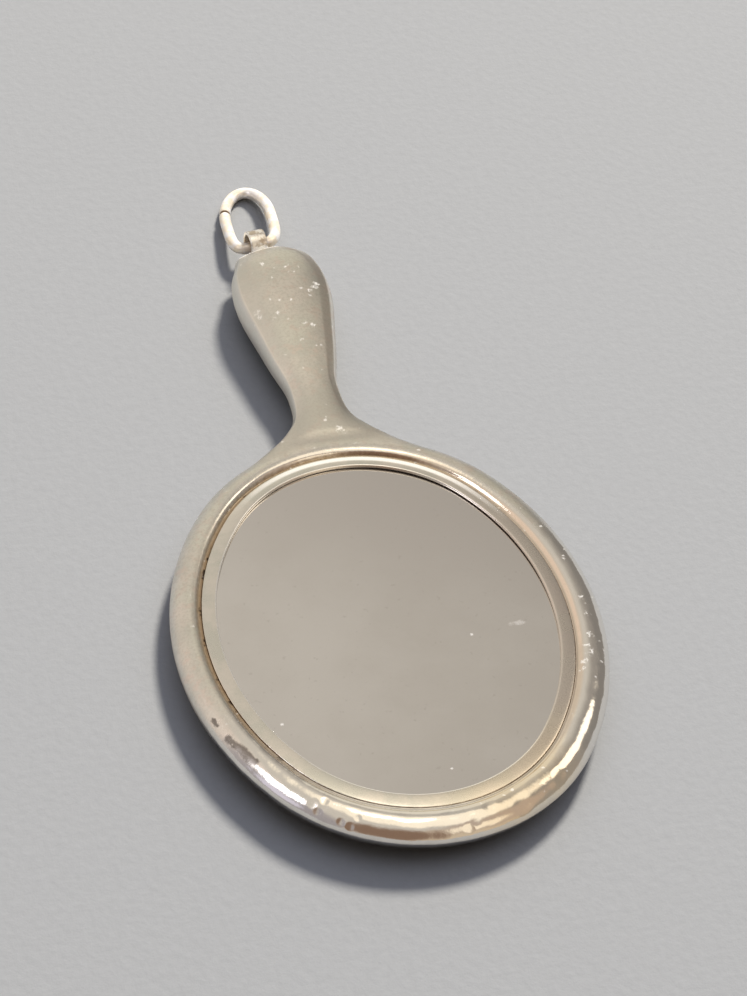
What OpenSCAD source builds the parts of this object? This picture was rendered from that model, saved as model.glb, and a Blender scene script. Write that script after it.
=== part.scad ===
// A small silver hand mirror worn as a pendant, lying on its back.
// Millimetres. X runs across the head, Y from the head to the jump ring, Z up from the surface it lies on.
// The origin is the middle of the whole outline, on that surface.

/* [Mirror] */
// Width of the mirror that shows inside the bezel
mirror_w = 22.5; // [20:0.5:24.5]
// Length of the mirror that shows inside the bezel
mirror_l = 28.4; // [27:0.2:32]
// Thickness of the glass
glass_t = 1.6; // [1:0.1:1.6]

/* [Head] */
// Thickness of the head at the top of its rim
head_t = 3.05; // [3:0.05:3.4]
// Height of the widest line of the rim
widest_z = 1.7; // [1.6:0.05:1.75]
// Thickness of the back
back_t = 1; // [0.8:0.1:1]
// Width of the bezel
bezel_w = 1; // [0.9:0.05:1.2]
// Width of the groove between the bezel and the rim
groove_w = 0.25; // [0.15:0.05:0.3]
// Width of the rim, from the groove to its widest line
rim_w = 1.92; // [1.8:0.02:2.2]

/* [Handle] */
// Length of the handle, from the edge of the head to its cut end
handle_l = 19.6; // [18:0.1:22]
// Width of the handle at its widest
bulb_w = 7.24; // [6.4:0.02:7.6]
// How far the cut end is out of square, in degrees
end_slant = 8; // [0:1:10]
// Roundness of the handle's section: 2 is an ellipse, more is squarer
section_power = 2.4; // [2:0.1:3]

/* [Knuckle] */
// Outer diameter of the knuckle, the short tube that holds the ring
knuckle_d = 2.05; // [2:0.05:2.2]
// Diameter of the hole through the knuckle
knuckle_bore = 1.55; // [1.55:0.05:1.6]
// Length of the knuckle
knuckle_l = 1.3; // [1.2:0.1:1.5]

/* [Jump ring] */
// Diameter of the ring's wire
wire_d = 0.86; // [0.7:0.02:0.88]
// Width of the ring to the middle of its wire
ring_w = 3.58; // [3.5:0.02:3.8]
// Length of the ring's far half, beyond its widest line
far_l = 3.5; // [3:0.1:4]
// Length of the ring's near half, which the knuckle holds
near_l = 3.9; // [3.6:0.1:4.4]
// Width of the slit where the ring was closed
slit = 0.12; // [0.08:0.02:0.2]
// How far the bent ring drifts towards +X for each millimetre along it
ring_skew = 0.19; // [0.1:0.01:0.22]
// How far the ring leans over on its -X side, in degrees
ring_lean = 4; // [0:1:4]

/* [Hidden] */
$fn = 96;

// The oval is set out on a 3-4-5 triangle: the side arcs are struck from points four units out on each side,
// the end arcs from points three units along, so that the two radii differ by five units and the arcs meet smoothly.
half_w = mirror_w / 2;
half_l = mirror_l / 2;
unit = (half_l - half_w) / 2;
side_x = 4 * unit;
end_y = 3 * unit;
side_r = half_w + side_x;
end_r = half_l - end_y;
join_angle = atan2(3, 4);
reach = 6; // carries a wedge past the edge of the head

// Distances outwards from the edge of the visible mirror.
glass_edge = 0.55;
pocket_edge = 0.65;
ledge_edge = bezel_w + groove_w;
head_edge = ledge_edge + rim_w;
head_end = half_l + head_edge;
head_end_r = end_r + head_edge;

// Heights inside the head.
clearance = 0.05;
glass_z = back_t + clearance;
glass_top = glass_z + glass_t;
ledge_z = 2.2;
bezel_top = head_t - 0.05;
lip_r = 0.3;
rim_r = head_t - widest_z;

// Stations along the handle. Columns: place as a share of the handle's length from the cut end (above 1 is
// inside the head), half width on the -X side and on the +X side as a share of the widest, top, bottom, height
// of the widest line, and how far the station follows the curve of the head's edge.
PLACE = 0;
LEFT = 1;
RIGHT = 2;
TOP = 3;
BOTTOM = 4;
MIDDLE = 5;
BEND = 6;
stations = [
    [0,    0.71, 0.36, 2.96, 1.20, 2.10, 0],
    [0.02, 0.76, 0.53, 3.22, 0.98, 2.10, 0],
    [0.05, 0.82, 0.71, 3.50, 0.74, 2.10, 0],
    [0.10, 0.90, 0.87, 3.78, 0.47, 2.10, 0],
    [0.16, 0.97, 0.97, 3.98, 0.27, 2.12, 0],
    [0.25, 1.00, 1.00, 4.10, 0.17, 2.13, 0],
    [0.34, 0.96, 0.96, 4.06, 0.20, 2.12, 0],
    [0.45, 0.84, 0.84, 3.90, 0.34, 2.11, 0],
    [0.59, 0.69, 0.69, 3.66, 0.55, 2.09, 0],
    [0.73, 0.54, 0.54, 3.42, 0.78, 2.06, 0],
    [0.82, 0.51, 0.53, 3.28, 0.82, 2.02, 0],
    [0.88, 0.56, 0.60, 3.20, 0.74, 1.96, 0.2],
    [0.93, 0.73, 0.79, 3.14, 0.60, 1.86, 0.5],
    [0.97, 1.00, 1.10, 3.09, 0.50, 1.76, 0.8],
    [1.00, 1.33, 1.41, 3.02, 0.46, 1.70, 1],
    [1.04, 1.54, 1.54, 2.90, 0.55, 1.70, 1],
    [1.07, 1.54, 1.54, 2.75, 0.70, 1.70, 1],
];
rings_per_gap = 2;
points_per_ring = 36;
handle_end = head_end + handle_l;
end_middle_z = 2.1;
slant_share = 0.16; // how much of the handle takes up the slant of its cut end

// The knuckle stands off the cut end on a stub of solder and lies along it.
stand_off = 1.6;
knuckle_x = -0.64;
knuckle_y = handle_end + stand_off;
knuckle_z = 1.95;
solder_d = 1.5;
solder_depth = 0.5;

// The ring rests low in the knuckle, with its far end just above the surface.
ring_x = knuckle_x + 0.06;
ring_y = knuckle_y - 0.07;
ring_z = knuckle_z - 0.2;
ring_lift = 0.03;
ring_l = near_l + far_l;
ring_drop = asin((ring_z + ring_skew * ring_l * sin(ring_lean) - wire_d / 2 - ring_lift) / ring_l);
near_power = 4;
slit_place = 160;
wire_steps = 56;
wire_sides = 12;

// Between a circle, at a power of 2, and a square, at a high power.
function squared(v, power) = sign(v) * pow(abs(v), 2 / power);

// The middle of the ring's wire, from its near end. Angle 0 is its widest place on +X, 90 its far end.
function ring_middle(angle) =
    let (
        near = sin(angle) < 0,
        x = ring_w / 2 * (near ? squared(cos(angle), near_power) : cos(angle)),
        y = near_l * (1 + (near ? squared(sin(angle), near_power) : sin(angle) * far_l / near_l))
    )
    [x + ring_skew * y, y];

// The whole outline along Y, which sets the origin.
far_reach = max([for (angle = [60:2:120]) let (p = ring_middle(angle))
    p[0] * sin(end_slant) + p[1] * cos(ring_drop) * cos(end_slant)]);
outline_end = ring_y + far_reach + wire_d / 2;
middle_y = (outline_end - head_end) / 2;

// A smooth curve through four values, from the second to the third.
function blend(a, b, c, d, t) =
    b + t / 2 * (c - a + t * (2 * a - 5 * b + 4 * c - d + t * (3 * (b - c) + d - a)));
function station(i) = stations[max(0, min(len(stations) - 1, i))];
function between(k) =
    let (i = floor(k / rings_per_gap), t = k / rings_per_gap - i)
    [for (c = [PLACE:BEND]) blend(station(i - 1)[c], station(i)[c], station(i + 1)[c], station(i + 2)[c], t)];

function sag(x) = head_end_r - sqrt(head_end_r * head_end_r - x * x);
function handle_point(s, angle) =
    let (
        half = s[cos(angle) > 0 ? RIGHT : LEFT] * bulb_w / 2,
        x = half * squared(cos(angle), section_power),
        rise = squared(sin(angle), section_power),
        z = s[MIDDLE] + rise * (rise > 0 ? s[TOP] - s[MIDDLE] : s[MIDDLE] - s[BOTTOM]),
        slant = max(0, 1 - s[PLACE] / slant_share) * tan(end_slant)
    )
    [x, handle_end - s[PLACE] * handle_l + slant * x - s[BEND] * sag(x), z];

function ring_normal(angle) =
    let (along = ring_middle(angle + 1) - ring_middle(angle - 1))
    [along[1], -along[0]] / norm(along);
function wire_point(angle, round) =
    let (c = ring_middle(angle), out = ring_normal(angle) * cos(round))
    [c[0] + out[0] * wire_d / 2, c[1] + out[1] * wire_d / 2, -sin(round) * wire_d / 2];

// A closed skin over a row of rings with the same number of points, with a middle point to close each end.
module skin(rings, start, stop) {
    n = len(rings[0]);
    last = len(rings) - 1;
    sides = [for (k = [0:last - 1], j = [0:n - 1]) let (a = k * n + j, b = k * n + (j + 1) % n)
        each [[a, a + n, b], [b, a + n, b + n]]];
    caps = [for (j = [0:n - 1]) let (m = (j + 1) % n)
        each [[(last + 1) * n, j, m], [(last + 1) * n + 1, last * n + m, last * n + j]]];
    polyhedron([for (ring = rings) each ring, start, stop], concat(sides, caps));
}

module oval(outwards) {
    join_y = end_y + (end_r + outwards) * sin(join_angle);
    intersection() {
        translate([-side_x, 0]) circle(r = side_r + outwards);
        translate([side_x, 0]) circle(r = side_r + outwards);
        square([2 * (half_w + outwards) + 1, 2 * join_y], center = true);
    }
    for (s = [-1, 1]) translate([0, s * end_y]) circle(r = end_r + outwards);
}

module slab(outwards, from, to) {
    translate([0, 0, from]) linear_extrude(to - from) oval(outwards);
}

// A whole ring, of which only the wedge from its centre between two directions is kept.
module arc_of_ring(centre, from, to) {
    intersection() {
        translate([centre[0], centre[1], 0]) rotate_extrude() children();
        linear_extrude(head_t) polygon([centre, centre + reach * from, centre + reach * to]);
    }
}

// Sweeps a profile round the oval. The profile's X is the distance outwards from the edge of the visible mirror.
// Neighbouring arcs are cut along the same line, the long side of the 3-4-5 triangle.
module round_the_oval() {
    for (s = [-1, 1]) {
        arc_of_ring([-s * side_x, 0], [s * 4, s * 3], [s * 4, -s * 3]) translate([side_r, 0]) children();
        arc_of_ring([0, s * end_y], [s * 4, s * 3], [-s * 4, s * 3]) translate([end_r, 0]) children();
    }
}

module quarter(r, up) {
    intersection() {
        circle(r = r);
        translate([0, up ? 0 : -r]) square([r, r]);
    }
}

// The rolled rim, with the ledge that the bezel stands on. Its upper and lower arcs meet at the widest line.
module rim_profile() {
    upper_x = head_edge - rim_r;
    lower_x = head_edge - widest_z;
    translate([upper_x, widest_z]) quarter(rim_r, true);
    translate([lower_x, widest_z]) quarter(widest_z, false);
    translate([pocket_edge, 0]) square([lower_x - pocket_edge, ledge_z]);
    translate([ledge_edge, widest_z]) square([upper_x - ledge_edge, rim_r - lip_r]);
    translate([ledge_edge + lip_r, head_t - lip_r]) circle(r = lip_r);
    translate([ledge_edge + lip_r, head_t - lip_r]) square([upper_x - ledge_edge - lip_r, lip_r]);
}

module head() {
    slab(ledge_edge, 0, back_t);
    round_the_oval() rim_profile();
}

module handle() {
    last = (len(stations) - 1) * rings_per_gap;
    inside = station(last);
    skin([for (k = [0:last]) [for (j = [0:points_per_ring - 1]) handle_point(between(k), 360 * j / points_per_ring)]],
        [0, handle_end, end_middle_z],
        [0, handle_end - inside[PLACE] * handle_l, inside[MIDDLE]]);
}

module knuckle() {
    solder_l = knuckle_y - handle_end + solder_depth;
    translate([knuckle_x, knuckle_y, knuckle_z]) rotate([0, 0, end_slant]) difference() {
        union() {
            rotate([0, 90, 0]) cylinder(h = knuckle_l, d = knuckle_d, center = true);
            rotate([90, 0, 0]) cylinder(h = solder_l, d = solder_d);
        }
        rotate([0, 90, 0]) cylinder(h = knuckle_l + 2, d = knuckle_bore, center = true);
    }
}

module in_place() {
    translate([0, -middle_y, 0]) children();
}

module handle_frame() {
    color("#c9c5bb") in_place() {
        head();
        handle();
        knuckle();
    }
}

// An angle in section: its skirt stands on the ledge and its lip covers the edge of the glass.
module bezel() {
    color("#bdb8ac") in_place() difference() {
        slab(bezel_w, ledge_z + clearance, bezel_top);
        slab(pocket_edge, ledge_z, glass_top + clearance);
        slab(0, ledge_z, head_t);
    }
}

module mirror_glass() {
    color("#aaa59b") in_place() slab(glass_edge, glass_z, glass_top);
}

// One bent wire: it starts at one side of the slit and goes round to the other.
module jump_ring() {
    half_slit = slit / ring_w * 180 / PI;
    start = slit_place + half_slit;
    turn = 360 - 2 * half_slit;
    function at(k) = start + turn * k / wire_steps;
    function middle(k) = [each ring_middle(at(k)), 0];
    color("#e4dccb") in_place() translate([ring_x, ring_y, ring_z])
        rotate([0, 0, end_slant]) rotate([-ring_drop, 0, 0]) rotate([0, -ring_lean, 0])
            skin([for (k = [0:wire_steps]) [for (j = [0:wire_sides - 1]) wire_point(at(k), 360 * j / wire_sides)]],
                middle(0), middle(wire_steps));
}

handle_frame();
bezel();
mirror_glass();
jump_ring();
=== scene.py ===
# Silver hand mirror pendant lying on its back.
# Everything is worked out in millimetres and scaled when a mesh is made.
import math
from functools import reduce

import bmesh
import bpy
import numpy as np
from mathutils import Matrix, Vector


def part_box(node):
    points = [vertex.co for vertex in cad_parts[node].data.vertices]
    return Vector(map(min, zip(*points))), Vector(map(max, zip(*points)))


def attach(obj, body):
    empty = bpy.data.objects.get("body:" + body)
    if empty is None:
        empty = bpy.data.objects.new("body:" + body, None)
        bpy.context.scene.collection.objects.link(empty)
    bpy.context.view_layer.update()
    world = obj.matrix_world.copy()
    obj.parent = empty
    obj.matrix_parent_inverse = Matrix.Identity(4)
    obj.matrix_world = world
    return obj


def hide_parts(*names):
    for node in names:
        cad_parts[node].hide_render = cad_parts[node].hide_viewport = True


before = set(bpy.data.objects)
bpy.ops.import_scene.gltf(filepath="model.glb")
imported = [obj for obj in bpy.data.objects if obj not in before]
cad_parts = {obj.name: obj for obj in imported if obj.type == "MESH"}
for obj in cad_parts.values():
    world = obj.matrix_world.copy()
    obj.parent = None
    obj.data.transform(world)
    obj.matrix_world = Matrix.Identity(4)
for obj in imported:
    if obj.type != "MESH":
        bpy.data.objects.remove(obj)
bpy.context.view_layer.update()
mm = 0.001


def cadBox(node):
    low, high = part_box(node)
    return Vector(low) / mm, Vector(high) / mm


# The oval of the mirror, from the bezel's box. It is four arcs set out on a 3-4-5 triangle.
bandWidth = 1.0
bezelLow, bezelHigh = cadBox("bezel")
headY = (bezelLow.y + bezelHigh.y) / 2
halfWidth = bezelHigh.x - bandWidth
halfLength = (bezelHigh.y - bezelLow.y) / 2 - bandWidth
unit = (halfLength - halfWidth) / 2
sideShift = 4 * unit    # how far the centres of the two side arcs lie from the oval's middle
endShift = 3 * unit     # and those of the two end arcs
sideRadius = halfWidth + sideShift
endRadius = halfLength - endShift
arcsMeet = 0.8          # the cosine of the direction in which a side arc meets an end arc


def ovalPoint(turn, out):
    # the point that lies out millimetres outside the mirror's visible edge, where that edge faces turn
    c, s = math.cos(turn), math.sin(turn)
    if abs(c) > arcsMeet:
        reach = sideRadius + out
        return Vector((reach * c - sideShift * math.copysign(1, c), headY + reach * s))
    reach = endRadius + out
    return Vector((reach * c, headY + reach * s + endShift * math.copysign(1, s)))


def outwardOf(x, y):
    # how far points lie outside the mirror's visible edge
    x, y = np.abs(x), np.abs(y - headY)
    side = np.hypot(x + sideShift, y) - sideRadius
    end = np.hypot(x, y - endShift) - endRadius
    return np.where(3 * (x + sideShift) > 4 * y, side, end)


def makeObject(name, points, faces, smooth=True):
    mesh = bpy.data.meshes.new(name)
    mesh.from_pydata([Vector(p) * mm for p in points], [], faces)
    mesh.validate()
    body = bmesh.new()
    body.from_mesh(mesh)
    bmesh.ops.recalc_face_normals(body, faces=body.faces)
    body.to_mesh(mesh)
    body.free()
    mesh.polygons.foreach_set("use_smooth", [smooth] * len(mesh.polygons))
    thing = bpy.data.objects.new(name, mesh)
    bpy.context.collection.objects.link(thing)
    return thing


def applyModifiers(thing):
    graph = bpy.context.evaluated_depsgraph_get()
    solid = bpy.data.meshes.new_from_object(thing.evaluated_get(graph))
    thing.modifiers.clear()
    thing.data = solid


def keepValue(thing, name, values):
    # stores one number a vertex, for the materials
    layer = thing.data.attributes.new(name, "FLOAT", "POINT")
    layer.data.foreach_set("value", np.asarray(values, dtype=np.float32))


def vertexPoints(thing):
    flat = np.empty(len(thing.data.vertices) * 3)
    thing.data.vertices.foreach_get("co", flat)
    return flat.reshape(-1, 3) / mm


def squared(v, power):
    return math.copysign(abs(v) ** (2 / power), v)


# Camera
camera = {
    "target": (2.536, headY + 13.527, 0),
    "distance": 196.66,
    "elevation": 47.06,
    "azimuth": -18.90,
    "roll": 6.99,
    "focalPixels": 2800,
    "picture": (747, 996),
    "sensor": 36,
}


def makeCamera():
    e, a, t = (math.radians(camera[k]) for k in ("elevation", "azimuth", "roll"))
    back = Vector((math.cos(e) * math.sin(a), -math.cos(e) * math.cos(a), math.sin(e)))
    level = Vector((math.cos(a), math.sin(a), 0))
    above = back.cross(level)
    right = level * math.cos(t) + above * math.sin(t)
    up = above * math.cos(t) - level * math.sin(t)
    data = bpy.data.cameras.new("camera")
    data.sensor_width = camera["sensor"]
    # the picture stands upright, so the sensor's width covers its height
    data.lens = camera["focalPixels"] * camera["sensor"] / camera["picture"][1]
    data.clip_start = 0.01
    data.clip_end = 10
    eye = bpy.data.objects.new("camera", data)
    place = (Vector(camera["target"]) + back * camera["distance"]) * mm
    eye.matrix_world = Matrix.Translation(place) @ Matrix((right, up, back)).transposed().to_4x4()
    bpy.context.collection.objects.link(eye)
    bpy.context.scene.camera = eye


makeCamera()
print("camera placed")


# Shader building: a Link wraps a socket, so that shader sums are written as sums
class Link:
    def __init__(self, shader, socket):
        self.shader = shader
        self.socket = socket

    def sum(self, kind, first, second, clamp=False):
        settings = {"operation": kind, "use_clamp": clamp}
        return self.shader.add("ShaderNodeMath", settings, {0: first, 1: second})

    def __add__(self, other):
        return self.sum("ADD", self, other)

    def __radd__(self, other):
        return self.sum("ADD", other, self)

    def __sub__(self, other):
        return self.sum("SUBTRACT", self, other)

    def __rsub__(self, other):
        return self.sum("SUBTRACT", other, self)

    def __mul__(self, other):
        return self.sum("MULTIPLY", self, other)

    def __rmul__(self, other):
        return self.sum("MULTIPLY", other, self)

    def clamped(self):
        return self.sum("ADD", self, 0, clamp=True)

    def swing(self):
        # a noise as a number about 0
        return self - 0.5

    def most(self, other):
        return self.sum("MAXIMUM", self, other)


class Shader:
    def __init__(self, name, world=False):
        self.material = (bpy.data.worlds if world else bpy.data.materials).new(name)
        self.material.use_nodes = True
        self.nodes = self.material.node_tree.nodes
        self.links = self.material.node_tree.links
        self.nodes.clear()

    def add(self, kind, settings=None, values=None, take=0):
        # any node: its type, its settings, then the values or links of its sockets
        node = self.nodes.new(kind)
        for key, value in (settings or {}).items():
            setattr(node, key, value)
        for key, value in (values or {}).items():
            if isinstance(value, Link):
                self.links.new(value.socket, node.inputs[key])
            else:
                node.inputs[key].default_value = value
        return Link(self, node.outputs[take]) if node.outputs else None

    def vector(self, kind, values, take=0):
        return self.add("ShaderNodeVectorMath", {"operation": kind}, values, take)

    def place(self):
        # where a point is on the object, in millimetres
        return self.scaled(self.add("ShaderNodeTexCoord", take="Object"), 1 / mm)

    def scaled(self, spot, factor):
        return self.vector("SCALE", {0: spot, "Scale": factor})

    def stretched(self, spot, factors):
        return self.vector("MULTIPLY", {0: spot, 1: factors})

    def moved(self, spot, shift):
        return self.vector("ADD", {0: spot, 1: shift})

    def along(self, spot, direction):
        return self.vector("DOT_PRODUCT", {0: spot, 1: direction}, take="Value")

    def distance(self, spot, centre):
        return self.vector("DISTANCE", {0: spot, 1: centre}, take="Value")

    def noise(self, spot, scale, detail, rough, shift=None, take=0):
        # the shift takes it from another place, so that noises don't follow each other
        place = self.moved(spot, shift) if shift else spot
        values = {"Vector": place, "Scale": scale, "Detail": detail, "Roughness": rough}
        return self.add("ShaderNodeTexNoise", None, values, take)

    def kept(self, name):
        return self.add("ShaderNodeAttribute", {"attribute_name": name}, take="Fac")

    def ramp(self, value, low, high):
        # 0 at low, 1 at high, smooth between
        values = {"Value": value, "From Min": low, "From Max": high}
        return self.add("ShaderNodeMapRange", {"interpolation_type": "SMOOTHSTEP"}, values)

    def fall(self, value, low, high):
        # 1 at low, 0 at high
        return 1 - self.ramp(value, low, high)

    def between(self, value, low, full, fading, gone):
        # rises from low to full, falls from fading to gone
        return self.ramp(value, low, full) * self.fall(value, fading, gone)

    def towards(self, spot, direction, low, high):
        # rises from low to high along a direction
        return self.ramp(self.along(spot, direction), low, high)

    def mix(self, amount, first, second):
        values = {0: amount, 6: rgb(first), 7: rgb(second)}
        return self.add("ShaderNodeMix", {"data_type": "RGBA"}, values, take=2)

    def bump(self, height, strength, depth, under=None):
        values = {"Height": height, "Strength": strength, "Distance": depth * mm}
        if under:
            values["Normal"] = under
        return self.add("ShaderNodeBump", None, values)

    def spots(self, spot, places, soft):
        # 1 in each small round spot of a list of (x, y, z, radius), full up to soft times its radius
        near = (self.fall(self.distance(spot, (x, y, z)), r * soft, r) for x, y, z, r in places)
        return reduce(Link.most, near)

    def streaks(self, spot, lines, soft):
        # the same along each line of a list of (start, end, radius)
        near = []
        for start, end, radius in lines:
            way = Vector(end) - Vector(start)
            part = self.along(self.moved(spot, -Vector(start)), way / way.length_squared).clamped()
            nearest = self.moved(self.scaled(way, part), start)
            near.append(self.fall(self.distance(spot, nearest), radius * soft, radius))
        return reduce(Link.most, near)

    def ragged(self, spot, scale, amount):
        # places pushed about by noise, which makes round spots uneven
        push = self.noise(spot, scale, 3, 0.6, take="Color")
        push = self.scaled(self.moved(push, (-0.5, -0.5, -0.5)), amount)
        return self.moved(spot, push)

    def finish(self, values):
        skin = self.add("ShaderNodeBsdfPrincipled", None, values)
        self.add("ShaderNodeOutputMaterial", None, {"Surface": skin})
        return self.material


def rgb(colour):
    return colour if isinstance(colour, Link) else (*colour, 1)


# Silver frame: the head's rim and back, the flare, the neck, the bulb and its cut end are
# one subdivided cage
rim = {
    # out from the mirror's edge, height, crease
    "rows": [
        (-9.0, 0.00, 0), (-2.0, 0.00, 0), (0.7, 0.00, 0), (1.55, 0.08, 0), (2.30, 0.45, 0),
        (2.90, 1.05, 0), (3.22, 1.74, 0), (3.08, 2.32, 0), (2.65, 2.77, 0), (2.18, 2.99, 0),
        (1.80, 3.05, 0), (1.52, 3.00, 0), (1.35, 2.90, 0), (1.25, 2.81, 0), (1.15, 2.78, 0),
        (1.03, 2.77, 0.5), (1.03, 2.20, 0.6), (0.65, 2.20, 0.8), (0.65, 1.00, 0.8), (-9.0, 1.00, 0),
    ],
    # in front of the handle the inner slope goes deeper, at the foot it ends level with the bezel:
    # added to out and height of some rows
    "atHandle": {9: (0.04, 0.03), 10: (0.05, 0.01), 11: (0.03, 0.01), 12: (0.02, -0.02),
                 13: (0.01, -0.09), 14: (0, -0.15), 15: (0, -0.16)},
    "atFoot": {12: (0, 0.02), 13: (0, 0.05), 14: (0, 0.06), 15: (0, 0.065)},
    "shift": 0.15,             # the outer part of the rim lies a little towards +X
    "shiftFrom": 1.3,
    "shiftOver": 1.2,
    "stations": 60,
    "openRows": (4, 8),        # the rows between which the handle leaves the head
    "openStations": (10, 20),  # and the stations
    "crestRise": 0.16,         # how much the rim's outer slope fills up in front of the handle
}
handle = {
    "power": 2.4,        # roundness of the section: 2 is an ellipse
    "edgeAngle": 32,     # where the soft edge between front and side lies in the section
    "edgeCrease": 0.6,
    "creaseFrom": 3,     # the station where that edge begins
    "edgeProud": 1.03,   # how far that edge stands out of the round section
    "cutCrease": 0.95,
    "slant": 8,          # of the cut end, in degrees
    "slantFades": 3.0,
    "cutBow": 0.015,     # how the cut end falls back towards -X
    "cutBowFrom": 0.87,
    "sharpFrom": 45,     # in degrees, for the knuckle's and the cut end's edges
    "headRadius": 12.95,
    "from": 3.17,        # how far outside the mirror's edge it starts
    # along from the head's edge, half width on -X, on +X, top, bottom, widest height, bend with the head
    "stations": [
        (0.12, 5.05, 5.50, 2.99, 0.52, 1.71, 0.95),
        (0.45, 4.05, 4.55, 3.06, 0.60, 1.75, 0.85),
        (0.95, 3.20, 3.58, 3.12, 0.68, 1.82, 0.70),
        (1.50, 2.58, 2.80, 3.17, 0.75, 1.90, 0.50),
        (2.15, 2.12, 2.30, 3.21, 0.83, 1.98, 0.30),
        (3.00, 1.88, 2.02, 3.25, 0.90, 2.05, 0.12),
        (4.10, 1.83, 1.92, 3.29, 0.93, 2.10, 0),
        (5.40, 1.89, 1.92, 3.36, 0.88, 2.12, 0),
        (6.80, 2.20, 2.20, 3.49, 0.76, 2.13, 0),
        (8.30, 2.55, 2.55, 3.63, 0.62, 2.13, 0),
        (9.80, 2.84, 2.84, 3.77, 0.48, 2.13, 0),
        (11.3, 3.13, 3.13, 3.90, 0.36, 2.13, 0),
        (12.8, 3.42, 3.42, 4.01, 0.25, 2.13, 0),
        (14.3, 3.60, 3.60, 4.08, 0.18, 2.13, 0),
        (15.6, 3.60, 3.60, 4.08, 0.19, 2.12, 0),
        (16.8, 3.45, 3.42, 3.99, 0.28, 2.11, 0),
        (17.8, 3.18, 3.08, 3.82, 0.44, 2.10, 0),
        (18.5, 2.96, 2.64, 3.59, 0.65, 2.10, 0),
        (19.0, 2.83, 2.10, 3.36, 0.86, 2.10, 0),
        (19.35, 2.75, 1.66, 3.14, 1.05, 2.10, 0),
        (19.6, 2.62, 1.28, 2.95, 1.20, 2.10, 0),
    ],
}
headEnd = headY + halfLength + handle["from"]
handleLength = handle["stations"][-1][0]


def cutOf(x):
    # how far the cut end lies beyond the handle's length, at x
    bow = handle["cutBow"] * np.minimum(0, x - handle["cutBowFrom"]) ** 2
    return math.tan(math.radians(handle["slant"])) * x - bow


def handlePoint(row, angle):
    along, left, right, top, bottom, middle, bend = row
    c, s = math.cos(angle), math.sin(angle)
    onEdge = abs(abs(s) - math.sin(math.radians(handle["edgeAngle"]))) < 0.01
    proud = handle["edgeProud"] if onEdge else 1
    x = (right if c > 0 else left) * squared(c, handle["power"]) * proud
    z = middle + (top - middle if s > 0 else middle - bottom) * squared(s, handle["power"]) * proud
    fade = max(0, 1 - (handleLength - along) / handle["slantFades"])
    sag = handle["headRadius"] - math.sqrt(handle["headRadius"] ** 2 - x * x)
    return Vector((x, headEnd + along - bend * sag + fade * cutOf(x), z))


def rimCage():
    # the head, open where the handle leaves it
    points, faces, creases = [], [], {}
    rows, count = rim["rows"], rim["stations"]
    lowRow, highRow = rim["openRows"]
    first, last = rim["openStations"]
    wide = last - first
    for k, (out, height, crease) in enumerate(rows):
        shift = rim["shift"] * min(1, max(0, (out - rim["shiftFrom"]) / rim["shiftOver"]))
        for i in range(count):
            turn = 2 * math.pi * i / count
            near = math.sin(turn) ** 2
            wider, higher = rim["atHandle" if turn < math.pi else "atFoot"].get(k, (0, 0))
            spot = ovalPoint(turn, out + wider * near) + Vector((shift, 0))
            lift = higher * near
            if first <= i <= last and k == highRow:
                lift += rim["crestRise"] * (1 - ((i - first) / wide * 2 - 1) ** 2)
            points.append((spot.x, spot.y, height + lift))
            if crease:
                creases[(k * count + i, k * count + (i + 1) % count)] = crease
    for k in range(len(rows) - 1):
        for i in range(count):
            if lowRow <= k < highRow and first <= i < last:
                continue
            j = (i + 1) % count
            faces.append((k * count + i, k * count + j, (k + 1) * count + j, (k + 1) * count + i))
    faces.append(tuple(reversed(range(count))))
    faces.append(tuple((len(rows) - 1) * count + i for i in range(count)))
    return points, faces, creases


def openingLoop():
    # the points round the opening: over the top from +X to -X, down, back along the bottom and up,
    # and the angle of each in the handle's section
    count = rim["stations"]
    lowRow, highRow = rim["openRows"]
    first, last = rim["openStations"]
    wide, tall = last - first, highRow - lowRow
    loop = [highRow * count + i for i in range(first, last + 1)]
    loop += [k * count + last for k in range(highRow - 1, lowRow, -1)]
    loop += [lowRow * count + i for i in range(last, first - 1, -1)]
    loop += [k * count + first for k in range(lowRow + 1, highRow)]
    edge = math.radians(handle["edgeAngle"])
    half = [edge + (math.pi - 2 * edge) * i / wide for i in range(wide + 1)]
    half += [math.pi - edge + 2 * edge * i / tall for i in range(1, tall)]
    return loop, half + [math.pi + angle for angle in half]


def capEnd(points, faces, loop, wide):
    # closes the cut end with a grid between its top and bottom rows
    tall = len(loop) // 2 - wide
    grid = [[None] * (wide + 1) for _ in range(tall + 1)]
    for i in range(wide + 1):
        grid[tall][i] = loop[i]
        grid[0][i] = loop[2 * wide + tall - i]
    for k in range(1, tall):
        grid[k][wide] = loop[wide + tall - k]
        grid[k][0] = loop[2 * wide + tall + k]
        for i in range(1, wide):
            high, low = points[grid[tall][i]], points[grid[0][i]]
            grid[k][i] = len(points)
            points.append(low.lerp(high, k / tall))
    for k in range(tall):
        for i in range(wide):
            faces.append((grid[k][i], grid[k][i + 1], grid[k + 1][i + 1], grid[k + 1][i]))


def frameCage():
    points, faces, creases = rimCage()
    loop, angles = openingLoop()
    around = len(loop)
    first, last = rim["openStations"]
    wide = last - first
    for n, row in enumerate(handle["stations"]):
        nextLoop = list(range(len(points), len(points) + around))
        points.extend(handlePoint(row, a) for a in angles)
        for i in range(around):
            j = (i + 1) % around
            faces.append((loop[i], loop[j], nextLoop[j], nextLoop[i]))
        if n >= handle["creaseFrom"]:
            for i in (0, wide):
                creases[(loop[i], nextLoop[i])] = handle["edgeCrease"]
        loop = nextLoop
    for i in range(around):
        creases[(loop[i], loop[(i + 1) % around])] = handle["cutCrease"]
    capEnd(points, faces, loop, wide)
    return points, faces, creases


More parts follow.
